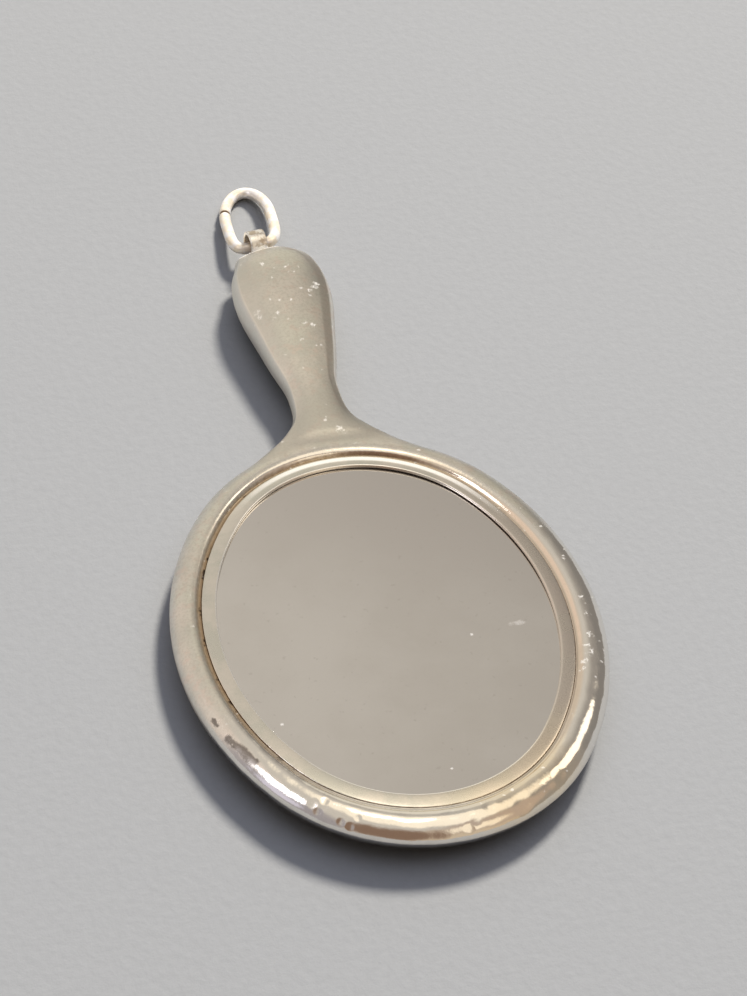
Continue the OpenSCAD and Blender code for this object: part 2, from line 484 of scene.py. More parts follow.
def subdivided(name, points, faces, creases, levels=2, passes=4):
    # a subdivision surface that passes through the cage's own points
    thing = makeObject(name, points, faces)
    layer = thing.data.attributes.new("crease_edge", "FLOAT", "EDGE")
    for edge in thing.data.edges:
        a, b = edge.vertices
        layer.data[edge.index].value = creases.get((a, b), creases.get((b, a), 0))
    modifier = thing.modifiers.new("smooth", "SUBSURF")
    modifier.levels = modifier.render_levels = levels
    wanted = vertexPoints(thing)
    cage = wanted.copy()
    for _ in range(passes):
        graph = bpy.context.evaluated_depsgraph_get()
        shown = vertexPoints(thing.evaluated_get(graph))[: len(wanted)]
        cage += wanted - shown
        thing.data.vertices.foreach_set("co", (cage * mm).ravel())
        thing.data.update()
    applyModifiers(thing)
    return thing


# Knuckle: a short tube on a stub of solder at the cut end
knuckle = {
    "outer": 1.025,
    "bore": 0.775,
    "length": 1.3,
    "edgeRound": 0.1,
    "edgeSteps": 5,
    "boreFlare": 0.07,
    "boreOverrun": 0.3,    # how far the tool that cuts the bore starts outside it
    "centre": (-0.64, headY + 38.57, 1.95),
    # the solder: distance from the tube's centre towards the handle, radius
    "stub": ((0, 0.72), (0.95, 0.72), (1.25, 0.76), (1.5, 0.84), (1.7, 0.9), (2.2, 0.9)),
    "around": 56,
}


def tubeFaces(rings, around):
    # the faces of a tube of rings that follow each other, closed at both ends
    faces = []
    for k in range(rings - 1):
        for i in range(around):
            j = (i + 1) % around
            faces.append((k * around + i, k * around + j, (k + 1) * around + j, (k + 1) * around + i))
    faces.append(tuple(range(around)))
    faces.append(tuple((rings - 1) * around + i for i in reversed(range(around))))
    return faces


def turned(name, profile, place, around):
    # an open profile of (along, radius) turned round the X axis, closed at both ends
    points = []
    turns = [2 * math.pi * i / around for i in range(around)]
    for x, r in profile:
        points.extend(place @ Vector((x, r * math.cos(a), r * math.sin(a))) for a in turns)
    return makeObject(name, points, tubeFaces(len(profile), around))


def combine(body, tool, operation):
    modifier = body.modifiers.new("combine", "BOOLEAN")
    modifier.solver = "EXACT"
    modifier.operation = operation
    modifier.object = tool
    applyModifiers(body)
    bpy.data.objects.remove(tool)


def solderKnuckle(body):
    k = knuckle
    place = Matrix.Translation(k["centre"]) @ Matrix.Rotation(math.radians(handle["slant"]), 4, "Z")
    towardsHandle = place @ Matrix.Rotation(-math.pi / 2, 4, "Z")
    h, r, e = k["length"] / 2, k["outer"], k["edgeRound"]
    bends = [math.pi / 2 * i / k["edgeSteps"] for i in range(k["edgeSteps"] + 1)]
    left = [(-h + e - e * math.cos(a), r - e + e * math.sin(a)) for a in bends]
    b, f, over = k["bore"], k["boreFlare"], k["boreOverrun"]
    mouth = [(-h - over, b + f + over), (-h, b + f), (-h + f / 3, b + f / 3), (-h + f, b)]
    tube = left + [(-x, y) for x, y in reversed(left)]
    bore = mouth + [(-x, y) for x, y in reversed(mouth)]
    combine(body, turned("stub", k["stub"], towardsHandle, k["around"]), "UNION")
    combine(body, turned("tube", tube, place, k["around"]), "UNION")
    combine(body, turned("bore", bore, place, k["around"]), "DIFFERENCE")


def makeFrame():
    body = subdivided("silverFrame", *frameCage())
    solderKnuckle(body)
    spots = vertexPoints(body)
    spots[:, 2] = np.maximum(spots[:, 2], 0)
    body.data.vertices.foreach_set("co", (spots * mm).ravel())
    keepValue(body, "out", outwardOf(spots[:, 0], spots[:, 1]))
    keepValue(body, "pastCut", spots[:, 1] - headEnd - handleLength - cutOf(spots[:, 0]))
    keepValue(body, "lean", [v.normal.z for v in body.data.vertices])
    body.data.polygons.foreach_set("use_smooth", [True] * len(body.data.polygons))
    body.data.set_sharp_from_angle(angle=math.radians(handle["sharpFrom"]))
    return body


silverFrame = makeFrame()
print("silver frame made,", len(silverFrame.data.polygons), "faces")


def sweepOval(name, profile, stations=240):
    # a closed profile of (out, height) swept round the oval
    points, faces = [], []
    n = len(profile)
    for i in range(stations):
        for out, height in profile:
            spot = ovalPoint(2 * math.pi * i / stations, out)
            points.append((spot.x, spot.y, height))
    for i in range(stations):
        j = (i + 1) % stations
        for k in range(n):
            m = (k + 1) % n
            faces.append((i * n + k, i * n + m, j * n + m, j * n + k))
    return makeObject(name, points, faces)


def roundedProfile(corners, steps=4):
    # corners are (out, height, radius); each becomes a short arc
    shape = []
    n = len(corners)
    for i, (x, z, r) in enumerate(corners):
        here = Vector((x, z))
        before = (Vector(corners[i - 1][:2]) - here).normalized()
        after = (Vector(corners[(i + 1) % n][:2]) - here).normalized()
        if not r:
            shape.append((x, z))
            continue
        half = before.angle(after) / 2
        centre = here + (before + after).normalized() * (r / math.sin(half))
        start = (here + before * (r / math.tan(half)) - centre).normalized()
        stop = (here + after * (r / math.tan(half)) - centre).normalized()
        shape.extend(tuple(centre + start.slerp(stop, k / steps) * r) for k in range(steps + 1))
    return shape


# Bezel: a slightly domed band whose lip covers the edge of the glass
bezel = {
    # the domed top from its outer to its inner edge: out, height and how round the corner is
    "dome": [
        (bandWidth, 2.842, 0.08), (0.88, 2.870, 0), (0.76, 2.892, 0), (0.64, 2.910, 0), (0.52, 2.926, 0),
        (0.40, 2.940, 0), (0.28, 2.952, 0), (0.16, 2.961, 0), (0, 2.968, 0.10),
    ],
    "lipUnder": 2.70,
    "skirtFoot": bezelLow.z,
    "skirtWidth": 0.33,
    "edgeRound": 0.03,
    "innerRound": 0.02,    # in the corner under the lip
}


def makeBezel():
    b = bezel
    skirt = bandWidth - b["skirtWidth"]
    corners = [
        (0, b["lipUnder"], b["edgeRound"]),
        (skirt, b["lipUnder"], b["innerRound"]),
        (skirt, b["skirtFoot"], b["edgeRound"]),
        (bandWidth, b["skirtFoot"], b["edgeRound"]),
        *b["dome"],
    ]
    band = sweepOval("bezelBand", roundedProfile(corners))
    spots = vertexPoints(band)
    keepValue(band, "out", outwardOf(spots[:, 0], spots[:, 1]))
    return band


bezelBand = makeBezel()
print("bezel made")

# Jump ring: one bent wire with its ends a hair apart
ring = {
    "wire": 0.86,
    "width": 3.58,         # of the wire's middle line
    "far": 3.5,            # length of its round half, away from the knuckle
    "near": 3.9,           # length of its squarer half, which runs through the knuckle
    "nearPower": 4,
    "skew": 0.19,          # how far it leans over towards +X, for each millimetre of its length
    "lean": 4,             # its tilt to the side, in degrees
    "slit": 0.12,
    "slitPlace": 160,      # round the ring from +X, in degrees
    "steps": 180,
    "sides": 24,
    "endRound": 0.06,
    "thicker": 0.03,       # how much the wire grows on its right side
    "thickerAt": 20,
    "sharpFrom": 50,       # in degrees, for the edges of the slit
    "centre": (-0.58, headY + 38.5, 1.75),
    "lift": 0.03,          # the far end's height over the floor
}
ringLength = ring["near"] + ring["far"]
ringRise = ring["skew"] * ringLength * math.sin(math.radians(ring["lean"]))
ringDrop = math.asin((ring["centre"][2] + ringRise - ring["wire"] / 2 - ring["lift"]) / ringLength)


def ringMiddle(angle):
    c, s = math.cos(angle), math.sin(angle)
    near = s < 0
    x = ring["width"] / 2 * (squared(c, ring["nearPower"]) if near else c)
    y = ring["near"] * (1 + squared(s, ring["nearPower"])) if near else ring["near"] + ring["far"] * s
    return Vector((x + ring["skew"] * y, y, 0))


def makeRing():
    place = Matrix.Translation(ring["centre"]) @ Matrix.Rotation(math.radians(handle["slant"]), 4, "Z")
    lean = Matrix.Rotation(-math.radians(ring["lean"]), 4, "Y")
    place = place @ Matrix.Rotation(-ringDrop, 4, "X") @ lean
    half = ring["slit"] / ring["width"]
    start = math.radians(ring["slitPlace"]) + half
    turn = 2 * math.pi - 2 * half
    angles = [start + turn * k / ring["steps"] for k in range(ring["steps"] + 1)]
    path = [ringMiddle(a) for a in angles]
    points, fromSlit = [], []
    sides = ring["sides"]
    last = len(path) - 1
    for k, middle in enumerate(path):
        along = (path[min(k + 1, last)] - path[max(k - 1, 0)]).normalized()
        outward = Vector((along.y, -along.x, 0))
        growth = ring["thicker"] * max(0, math.cos(angles[k] - math.radians(ring["thickerAt"]))) ** 2
        reach = ring["wire"] / 2 * (1 + growth) - (ring["endRound"] if k in (0, last) else 0)
        for j in range(sides):
            a = 2 * math.pi * j / sides
            up = Vector((0, 0, math.sin(a) * reach))
            points.append(place @ (middle + outward * math.cos(a) * reach + up))
            fromSlit.append(min((middle - path[0]).length, (middle - path[last]).length))
    wire = makeObject("bentRing", points, tubeFaces(len(path), sides))
    keepValue(wire, "fromSlit", fromSlit)
    wire.data.set_sharp_from_angle(angle=math.radians(ring["sharpFrom"]))
    return wire


bentRing = makeRing()
print("jump ring made")


# Materials. Places on the object are written from the head's centre.
metal = {
    "satin": (0.84, 0.80, 0.735),
    "satinShade": (0.72, 0.715, 0.655),
    "warmShade": (0.79, 0.71, 0.64),
    "greenish": (0.80, 0.80, 0.72),
    "grainShade": (0.62, 0.595, 0.53),
    "tan": (0.41, 0.315, 0.20),
    "highlightPeach": (0.97, 0.80, 0.63),
    # the colour and the middle of a painted golden gleam
    "golden": (0.96, 0.81, 0.57),
    "paintedGleamFrom": (6.0, -15.2, 2.9),
    "bright": (0.93, 0.90, 0.85),
    "white": (0.98, 0.95, 0.88),
    "grime": (0.30, 0.185, 0.095),
    "darkGrimeAndShadow": (0.055, 0.032, 0.02),
    "wallShade": (0.47, 0.42, 0.36),
    "flareShade": (0.60, 0.58, 0.53),
    "darkReflectionTone": (0.17, 0.15, 0.135),
}


def onHead(places):
    return [(x, headY + y, z, radius) for x, y, z, radius in places]


frameFinish = {
    # scale, detail, roughness and shift
    "noises": {
        "cloud": (0.33, 4, 0.62),
        "blotch": (1.1, 4, 0.65, (31, 7, 5)),
        "fine": (5, 3, 0.65),
        "wobble": (3.2, 2, 0.5, (3, 11, 2)),
        "veil": (0.24, 2, 0.5, (4, 13, 6)),
        "dirt": (1.1, 3, 0.6, (9, 4, 1)),
        "speck": (2.3, 1, 0.4, (5, 3, 8)),
        "wave": (0.5, 1, 0.4, (2, 6, 4)),
    },
    "scratch": (2.4, 2, 0.5),
    "scratchStretch": (6, 0.5, 6),
    # between which two numbers each thing comes or goes; with four, it comes and then goes again
    "spans": {
        # in the noises
        "cloud": (0.36, 0.64),
        "veil": (0.48, 0.62),
        "blotch": (0.50, 0.66),
        "fine": (0.44, 0.64),
        "dirt": (0.56, 0.64),
        "speck": (0.72, 0.78),
        "stain": (0.47, 0.62),
        # out from the mirror's edge
        "innerSlope": (1.55, 2.05),
        "peachHighlight": (1.35, 1.65),
        "tan": (1.20, 1.47),
        "groove": (1.06, 1.24),
        "flare": (1.9, 2.6, 5, 9),
        "handle": (4.5, 6),
        # in height
        "wall": (1.5, 2.35),
        "handleWall": (2.0, 2.9),
        # past the cut end
        "rubbedEnd": (-1.2, -0.6),
        "worn": (-0.24, -0.12, -0.05, -0.01),
        "knuckle": (0.1, 0.3),
        # in how far the surface faces up
        "rubbedSheen": (0.25, 0.5, 0.74, 0.85),
        "dull": (0.84, 0.88, 0.888, 0.925),
        # towards +X
        "left": (-3, -0.5),
        "right": (0, 1),
        # from the middle of the painted golden gleam
        "golden": (2, 6),
    },
    # sides of the head: a direction, and where along it they start and are full
    "sides": {
        "low": ((0.45, -0.89, 0), -2.5, 2.5),
        "notLeft": ((0.75, 0.66, 0), -3, 4),
        "peachHighlight": ((0.98, 0.2, 0), 2, 9),
        "flare": ((0, 1, 0), 13, 17),
        "grimy": ((-0.8, 0.6, 0), -6, 7),
    },
    # how strongly each layer of colour covers the ones under it
    "amounts": {
        "veil": 0.6, "blotch": 0.75, "fine": 0.4,
        "polished": 0.8, "peachHighlight": 0.65, "golden": 0.25, "goldenBlotch": 0.5,
        "wall": 0.85, "handleWall": 0.25, "flare": 0.5, "patch": 0.85,
        "left": 0.65, "rubbedSheen": 0.3, "dull": 0.45,
        "tan": 0.9, "groove": 0.5, "grooveDirt": 0.5, "leastGrime": 0.1,
        "speck": 0.6, "nick": 0.85, "knuckle": 0.7, "stain": 0.7,
    },
    # how far the noises push the borders about, in millimetres
    "wallUneven": 0.5,
    "tanUneven": 0.2,
    "grooveUneven": 0.16,
    # of small spots: the scale and reach of their ragged shape, and the share of the radius that is full
    "darkReflectionRagged": (2.5, 0.5),
    "nickRagged": (3.5, 1.1),
    "darkReflectionSoft": 0.4,
    "nickSoft": 0.2,
    "pitSoft": 0.1,
    # what each thing adds to the roughness of the satin, and takes off the metallic value
    "roughness": {
        "satin": 0.40, "polished": -0.28, "cloud": 0.16, "blotch": 0.12, "fine": 0.05,
        "groove": 0.2, "tan": 0.1, "patch": 0.1, "handleWall": 0.15, "knuckle": -0.1,
    },
    "lessMetal": {"tan": 0.1, "nick": 0.4, "worn": 0.6, "knuckle": 0.12, "rubbedSheen": 0.1},
    # strength, and depth in millimetres
    "bumps": {
        "grain": (0.3, 0.012),
        "dents": (0.3, 0.03),
        "waves": (0.8, 0.14),
        "pits": (0.8, -0.035),
    },
    "scratchShare": 0.4,     # of the grain
    "blotchDents": 1.5,      # how much the blotches add to the dents
    "lowIsSmoother": 0.45,   # how much weaker they are in the rubbed part
    # bruises that show as pale specks, and painted glints on the right rim: place and radius
    "nicksAndGlints": [
        (1.68, 30.96, 3.91, 0.24), (2.30, 31.67, 3.77, 0.36), (2.05, 31.30, 3.83, 0.28),
        (0.04, 30.05, 4.0, 0.15), (-1.14, 29.09, 3.87, 0.18), (-1.53, 28.64, 3.76, 0.16),
        (-2.56, 29.62, 3.47, 0.3), (-2.40, 29.15, 3.50, 0.26), (0.57, 27.73, 3.81, 0.19),
        (1.12, 27.52, 3.73, 0.2), (0.01, 26.25, 3.7, 0.13), (1.29, 25.74, 3.6, 0.18),
        (1.41, 33.45, 3.96, 0.16), (0.46, 33.62, 4.03, 0.12), (-1.21, 34.24, 3.9, 0.15),
        (0.74, 17.76, 3.04, 0.28), (1.03, 17.47, 2.98, 0.2), (13.09, 3.36, 3.03, 0.2),
        (13.30, -0.22, 3.04, 0.25), (13.30, -1.64, 3.03, 0.26), (12.96, -3.44, 3.04, 0.27),
        (12.57, -4.94, 3.04, 0.32), (12.42, -4.30, 3.03, 0.22), (11.80, -5.60, 2.94, 0.30),
        (11.66, -6.10, 2.97, 0.24),
    ],
    # painted dark reflection along the left of the lower rim: two ends and a radius
    "darkReflections": [
        ((-12.40, -7.54, 2.67), (-11.13, -9.73, 2.81), 0.36),
        ((-13.08, -5.80, 2.62), (-12.86, -6.30, 2.62), 0.20),
    ],
    # small pits and dents in the lower rim
    "pits": [
        (-8.23, -13.50, 2.81, 0.45), (-7.50, -13.62, 3.00, 0.34), (-8.03, -14.07, 2.58, 0.4),
        (-6.78, -15.05, 2.54, 0.36), (-6.29, -15.45, 2.44, 0.34), (-5.74, -15.17, 2.87, 0.3),
        (1.05, -17.00, 2.62, 0.5), (1.49, -16.74, 2.79, 0.5), (2.61, -15.87, 3.04, 0.6),
        (4.84, -16.02, 2.70, 0.8), (7.75, -14.16, 2.81, 0.7),
    ],
}


def frameSilver():
    f = frameFinish
    spans, sides, amounts = f["spans"], f["sides"], f["amounts"]
    s = Shader("satinSilver")
    spot = s.place()
    fromHead = s.moved(spot, (0, -headY, 0))
    height = s.along(spot, (0, 0, 1))
    across = s.along(spot, (1, 0, 0))
    out, past, lean = (s.kept(name) for name in ("out", "pastCut", "lean"))
    noises = {name: s.noise(spot, *values) for name, values in f["noises"].items()}
    cloud, blotch, fine, wobble = (noises[name] for name in ("cloud", "blotch", "fine", "wobble"))
    scratch = s.noise(s.stretched(spot, f["scratchStretch"]), *f["scratch"])
    onHandle = s.ramp(out, *spans["handle"])

    # satin with greenish and warm clouds and a fine grain
    colour = s.mix(s.ramp(cloud, *spans["cloud"]), metal["satin"], metal["satinShade"])
    for name, tone in (("veil", "greenish"), ("blotch", "warmShade"), ("fine", "grainShade")):
        colour = s.mix(s.ramp(noises[name], *spans[name]) * amounts[name], colour, metal[tone])

    # the lower rim and its inner slope are rubbed bright, the handle and the upper rim stay satin
    low = s.towards(fromHead, *sides["low"])
    innerSlope = s.fall(out, *spans["innerSlope"]) * s.towards(fromHead, *sides["notLeft"])
    polished = low.most(innerSlope)
    colour = s.mix(polished * amounts["polished"], colour, metal["bright"])
    # a painted peach highlight on the inner slope of the right rim
    peachHighlight = s.fall(out, *spans["peachHighlight"]) * s.towards(fromHead, *sides["peachHighlight"])
    colour = s.mix(peachHighlight * amounts["peachHighlight"], colour, metal["highlightPeach"])
    # a painted golden gleam on the lower right of the rim
    golden = s.fall(s.distance(fromHead, metal["paintedGleamFrom"]), *spans["golden"])
    golden = golden * (amounts["golden"] + blotch * amounts["goldenBlotch"])
    colour = s.mix(golden, colour, metal["golden"])

    # painted shade: the outer wall of the head is darker and browner below its widest line, the handle's
    # only a little
    wall = s.fall(height + blotch.swing() * f["wallUneven"], *spans["wall"]) * (1 - onHandle)
    colour = s.mix(wall * amounts["wall"], colour, metal["wallShade"])
    handleWall = s.fall(height, *spans["handleWall"]) * onHandle
    colour = s.mix(handleWall * amounts["handleWall"], colour, metal["wallShade"])
    flare = s.between(out, *spans["flare"]) * s.towards(fromHead, *sides["flare"])
    colour = s.mix(flare * amounts["flare"], colour, metal["flareShade"])
    # a painted dark reflection along the left of the lower rim
    patch = s.streaks(s.ragged(fromHead, *f["darkReflectionRagged"]), f["darkReflections"], f["darkReflectionSoft"])
    colour = s.mix(patch * amounts["patch"], colour, metal["darkReflectionTone"])

    # the handle's soft edges are rubbed pale and carry a painted sheen, with a line of painted shade
    # beside the right one; the left of the handle is painted darker as shade
    leftShade = s.fall(across, *spans["left"]) * onHandle
    onRight = s.ramp(across, *spans["right"])
    beforeEnd = onHandle * s.fall(past, *spans["rubbedEnd"])
    rubbedSheen = s.between(lean, *spans["rubbedSheen"]) * beforeEnd
    dull = s.between(lean, *spans["dull"]) * beforeEnd * onRight
    colour = s.mix(leftShade * amounts["left"], colour, metal["satinShade"])
    colour = s.mix(rubbedSheen * amounts["rubbedSheen"], colour, metal["white"])
    colour = s.mix(dull * amounts["dull"], colour, metal["wallShade"])

    # tan and grime in the groove, most of it at the top and left
    least = amounts["leastGrime"]
    grimy = s.towards(fromHead, *sides["grimy"]) * (1 - least) + least
    tanned = s.fall(out + wobble.swing() * f["tanUneven"], *spans["tan"]) * grimy
    colour = s.mix(tanned * amounts["tan"], colour, metal["tan"])
    grooved = s.fall(out + wobble.swing() * f["grooveUneven"], *spans["groove"]) * grimy
    dirt = s.ramp(noises["dirt"], *spans["dirt"])
    covered = grooved * (amounts["groove"] + dirt * amounts["grooveDirt"])
    colour = s.mix(covered, colour, s.mix(dirt, metal["grime"], metal["darkGrimeAndShadow"]))

    # pale bruises and, on the right rim, painted glints; pale specks all over
    nickedAndGlints = s.spots(s.ragged(spot, *f["nickRagged"]), onHead(f["nicksAndGlints"]), f["nickSoft"])
    nickedAndGlints = nickedAndGlints.most(s.ramp(noises["speck"], *spans["speck"]) * amounts["speck"])
    colour = s.mix(nickedAndGlints * amounts["nick"], colour, metal["white"])

    # the edge of the cut end is painted white as a highlight; the knuckle beyond it has brown patches
    worn = s.between(past, *spans["worn"])
    colour = s.mix(worn, colour, metal["white"])
    onKnuckle = s.ramp(past, *spans["knuckle"])
    colour = s.mix(onKnuckle * amounts["knuckle"], colour, metal["bright"])
    stained = onKnuckle * s.ramp(blotch, *spans["stain"])
    colour = s.mix(stained * amounts["stain"], colour, metal["tan"])

    masks = {
        "polished": polished, "cloud": cloud.swing(), "blotch": blotch.swing(), "fine": fine.swing(),
        "groove": grooved, "tan": tanned, "patch": patch, "handleWall": handleWall, "knuckle": onKnuckle,
    }
    rough = f["roughness"]["satin"]
    for name, mask in masks.items():
        rough = rough + mask * f["roughness"][name]
    less = f["lessMetal"]
    metallic = 1 - tanned * less["tan"] - nickedAndGlints * less["nick"] - worn * less["worn"]
    metallic = metallic - onKnuckle * (1 - worn) * less["knuckle"]
    metallic = metallic - rubbedSheen * onRight * (1 - worn) * (1 - nickedAndGlints) * less["rubbedSheen"]

    # the rubbed part of the rim is a little wavy, which breaks up what it reflects
    bumps = f["bumps"]
    grain = fine * (1 - f["scratchShare"]) + scratch * f["scratchShare"]
    dents = (wobble + blotch * f["blotchDents"]) * (1 - low * f["lowIsSmoother"])
    pits = s.spots(spot, onHead(f["pits"]), f["pitSoft"])
    relief = s.bump(grain, *bumps["grain"])
    relief = s.bump(dents, *bumps["dents"], relief)
    relief = s.bump(noises["wave"] * low, *bumps["waves"], relief)
    relief = s.bump(pits, *bumps["pits"], relief)
    return s.finish({"Base Color": colour, "Metallic": metallic, "Roughness": rough, "Normal": relief})


bezelFinish = {
    # noises: scale, detail and roughness
    "cloud": (0.4, 4, 0.62),
    "fine": (8, 3, 0.6),
    "wobble": (2.6, 2, 0.5),
    "cloudSpan": (0.38, 0.62),
    "goldenSpan": (3, 9),
    # a painted reflection: a warm tint on the bezel's right
    "warmReflectionSide": ((0.96, -0.1, 0), 3, 10),
    "warmReflectionAmount": 0.6,
    "goldenAmount": 0.35,
    # grime against the frame, out from the mirror's edge
    "grimeSpan": (0.97, 1.0),
    "grimeUneven": 0.1,
    "grimeAmount": 0.7,
    # painted highlights on the lip's edges
    "innerEdgeSpan": (0.05, 0.15),
    "unwornSide": ((1, 0.1, 0), 2, 11),
    "outerEdgeSpan": (0.42, 0.62, 0.82, 0.95),
    "handleSide": ((0.2, 0.98, 0), 9, 14),
    "wornAmount": 0.7,
    # painted shadow of the lip on its inner face
    "innerFaceSpan": (0.04, 0.08),
    "innerFaceTop": (2.75, 2.81),
    "lipShadowSide": ((0.76, 0.65, 0), 7.5, 11.5),
    "lipShadowAmount": 0.9,
    "roughness": {"silver": 0.26, "cloud": 0.14, "fine": 0.04, "worn": -0.1, "paintedLipShadow": 0.3},
    "lessMetal": {"worn": 0.15, "outerEdge": 0.2},
    "fineBump": 0.2,
    "bump": (0.25, 0.01),
}


def bezelSilver():
    b = bezelFinish
    s = Shader("bezelSilver")
    spot = s.place()
    fromHead = s.moved(spot, (0, -headY, 0))
    height = s.along(spot, (0, 0, 1))
    out = s.kept("out")
    cloud, fine, wobble = (s.noise(spot, *b[name]) for name in ("cloud", "fine", "wobble"))
    colour = s.mix(s.ramp(cloud, *b["cloudSpan"]), metal["satin"], metal["satinShade"])
    # painted reflection: a warm tint on the right of the bezel
    warmReflection = s.towards(fromHead, *b["warmReflectionSide"])
    colour = s.mix(warmReflection * b["warmReflectionAmount"], colour, metal["warmShade"])
    # the same painted golden gleam as on the frame
    golden = s.fall(s.distance(fromHead, metal["paintedGleamFrom"]), *b["goldenSpan"])
    colour = s.mix(golden * b["goldenAmount"], colour, metal["golden"])
    grime = s.ramp(out + wobble.swing() * b["grimeUneven"], *b["grimeSpan"])
    colour = s.mix(grime * b["grimeAmount"], colour, metal["grime"])
    # painted highlights on the inner edge of the lip, all but on the right, and on the outer one near the
    # handle
    innerEdge = s.fall(out, *b["innerEdgeSpan"]) * (1 - s.towards(fromHead, *b["unwornSide"]))
    outerEdge = s.between(out, *b["outerEdgeSpan"]) * s.towards(fromHead, *b["handleSide"])
    worn = innerEdge.most(outerEdge)
    colour = s.mix(worn * b["wornAmount"], colour, metal["white"])
    # painted shadow of the lip on its inner face, next to the glass, at the top and right
    innerFace = s.fall(out, *b["innerFaceSpan"]) * s.fall(height, *b["innerFaceTop"])
    paintedLipShadow = innerFace * s.towards(fromHead, *b["lipShadowSide"])
    colour = s.mix(paintedLipShadow * b["lipShadowAmount"], colour, metal["darkGrimeAndShadow"])
    masks = {"cloud": cloud.swing(), "fine": fine.swing(), "worn": worn, "paintedLipShadow": paintedLipShadow}
    rough = b["roughness"]["silver"]
    for name, mask in masks.items():
        rough = rough + mask * b["roughness"][name]
    metallic = 1 - worn * b["lessMetal"]["worn"] - outerEdge * b["lessMetal"]["outerEdge"]
    grain = s.bump(fine * b["fineBump"] + wobble, *b["bump"])
    return s.finish({"Base Color": colour, "Metallic": metallic, "Roughness": rough, "Normal": grain})


ringFinish = {
    "pale": (0.98, 0.95, 0.91),
    "golden": (0.95, 0.84, 0.66),
    "fine": (9, 3, 0.6),
    "cloud": (1.1, 3, 0.6),
    "goldenSpan": (0.42, 0.60),
    # painted shade in the slit and where the ring runs into the knuckle, in the grime colour
    "slitShadeSpan": (0.0, 0.05),
    "slitShadeAmount": 0.8,
    "knuckleShadeSpan": (0.9, 1.3),
    "knuckleShadeAmount": 0.4,
    "roughness": 0.32,
    "cloudRoughness": 0.12,
    "fineRoughness": 0.06,
    "metallic": 0.5,
    "fineBump": 0.2,
    "bump": (0.3, 0.012),
}


def ringSilver():
    r = ringFinish
    s = Shader("brightSilver")
    spot = s.place()
    fine, cloud = (s.noise(spot, *r[name]) for name in ("fine", "cloud"))
    colour = s.mix(s.ramp(cloud, *r["goldenSpan"]), r["pale"], r["golden"])
    # painted shade in the slit and where the ring runs into the knuckle
    slitShade = s.fall(s.kept("fromSlit"), *r["slitShadeSpan"])
    colour = s.mix(slitShade * r["slitShadeAmount"], colour, metal["grime"])
    knuckleShade = s.fall(s.distance(spot, knuckle["centre"]), *r["knuckleShadeSpan"])
    colour = s.mix(knuckleShade * r["knuckleShadeAmount"], colour, metal["grime"])
    rough = r["roughness"] + cloud.swing() * r["cloudRoughness"] + fine.swing() * r["fineRoughness"]
    grain = s.bump(fine * r["fineBump"] + cloud, *r["bump"])
    values = {"Base Color": colour, "Metallic": r["metallic"], "Roughness": rough, "Normal": grain}
    return s.finish(values)


glass = {
    "clear": (0.88, 0.865, 0.84),
    "dull": (0.82, 0.80, 0.77),
    "shadeTone": (0.73, 0.705, 0.68),
    "speck": (0.62, 0.60, 0.57),
    "pale": (0.95, 0.93, 0.90),
    "cloud": (0.12, 4, 0.6),
    "speckle": (2.2, 2, 0.7),
    "cloudSpan": (0.3, 0.7),
    "speckSpan": (0.66, 0.72),
    "speckAmount": 0.25,
    "shadeSide": ((0.35, 0.94, 0), -3, 15),
    # small marks, and a smudge that is wider than it is high: place and radius
    "marks": [(5.28, -1.83, 2.65, 0.14), (-8.77, -6.99, 2.65, 0.16), (1.12, -12.33, 2.65, 0.14)],
    "marksRagged": (6, 0.2),
    "markSoft": 0.3,
    "markAmount": 0.6,
    "smudge": (8.6, -1.35, 2.65, 0.4),
    "smudgeStretch": (0.6, 1.7, 0),
    "smudgeUneven": 0.9,
    "smudgeCore": 0.1,
    "smudgeAmount": 0.4,
    "roughness": 0.05,
    "cloudRoughness": 0.06,
    "markRoughness": 0.15,
    "markLessMetal": 0.3,
}


def mirrorGlass():
    g = glass
    s = Shader("oldMirror")
    spot = s.place()
    fromHead = s.moved(spot, (0, -headY, 0))
    cloud, speckle = (s.noise(spot, *g[name]) for name in ("cloud", "speckle"))
    colour = s.mix(s.ramp(cloud, *g["cloudSpan"]), g["clear"], g["dull"])
    # painted shade that deepens towards the handle and the right
    colour = s.mix(s.towards(fromHead, *g["shadeSide"]), colour, g["shadeTone"])
    colour = s.mix(s.ramp(speckle, *g["speckSpan"]) * g["speckAmount"], colour, g["speck"])
    marks = s.spots(s.ragged(spot, *g["marksRagged"]), onHead(g["marks"]), g["markSoft"])
    x, y, _, radius = g["smudge"]
    wiped = s.distance(s.stretched(s.moved(fromHead, (-x, -y, 0)), g["smudgeStretch"]), (0, 0, 0))
    smudge = s.fall(wiped + speckle.swing() * g["smudgeUneven"], g["smudgeCore"], radius)
    marks = marks.most(smudge * g["smudgeAmount"])
    colour = s.mix(marks * g["markAmount"], colour, g["pale"])
    rough = g["roughness"] + cloud * g["cloudRoughness"] + marks * g["markRoughness"]
    metallic = 1 - marks * g["markLessMetal"]
    return s.finish({"Base Color": colour, "Metallic": metallic, "Roughness": rough})


def dress(thing, material):
    thing.data.materials.clear()
    thing.data.materials.append(material)


dress(silverFrame, frameSilver())
dress(bezelBand, bezelSilver())
dress(bentRing, ringSilver())
mirror = mirrorGlass()
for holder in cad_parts["mirror_glass"].material_slots:
    holder.material = mirror
print("materials made")

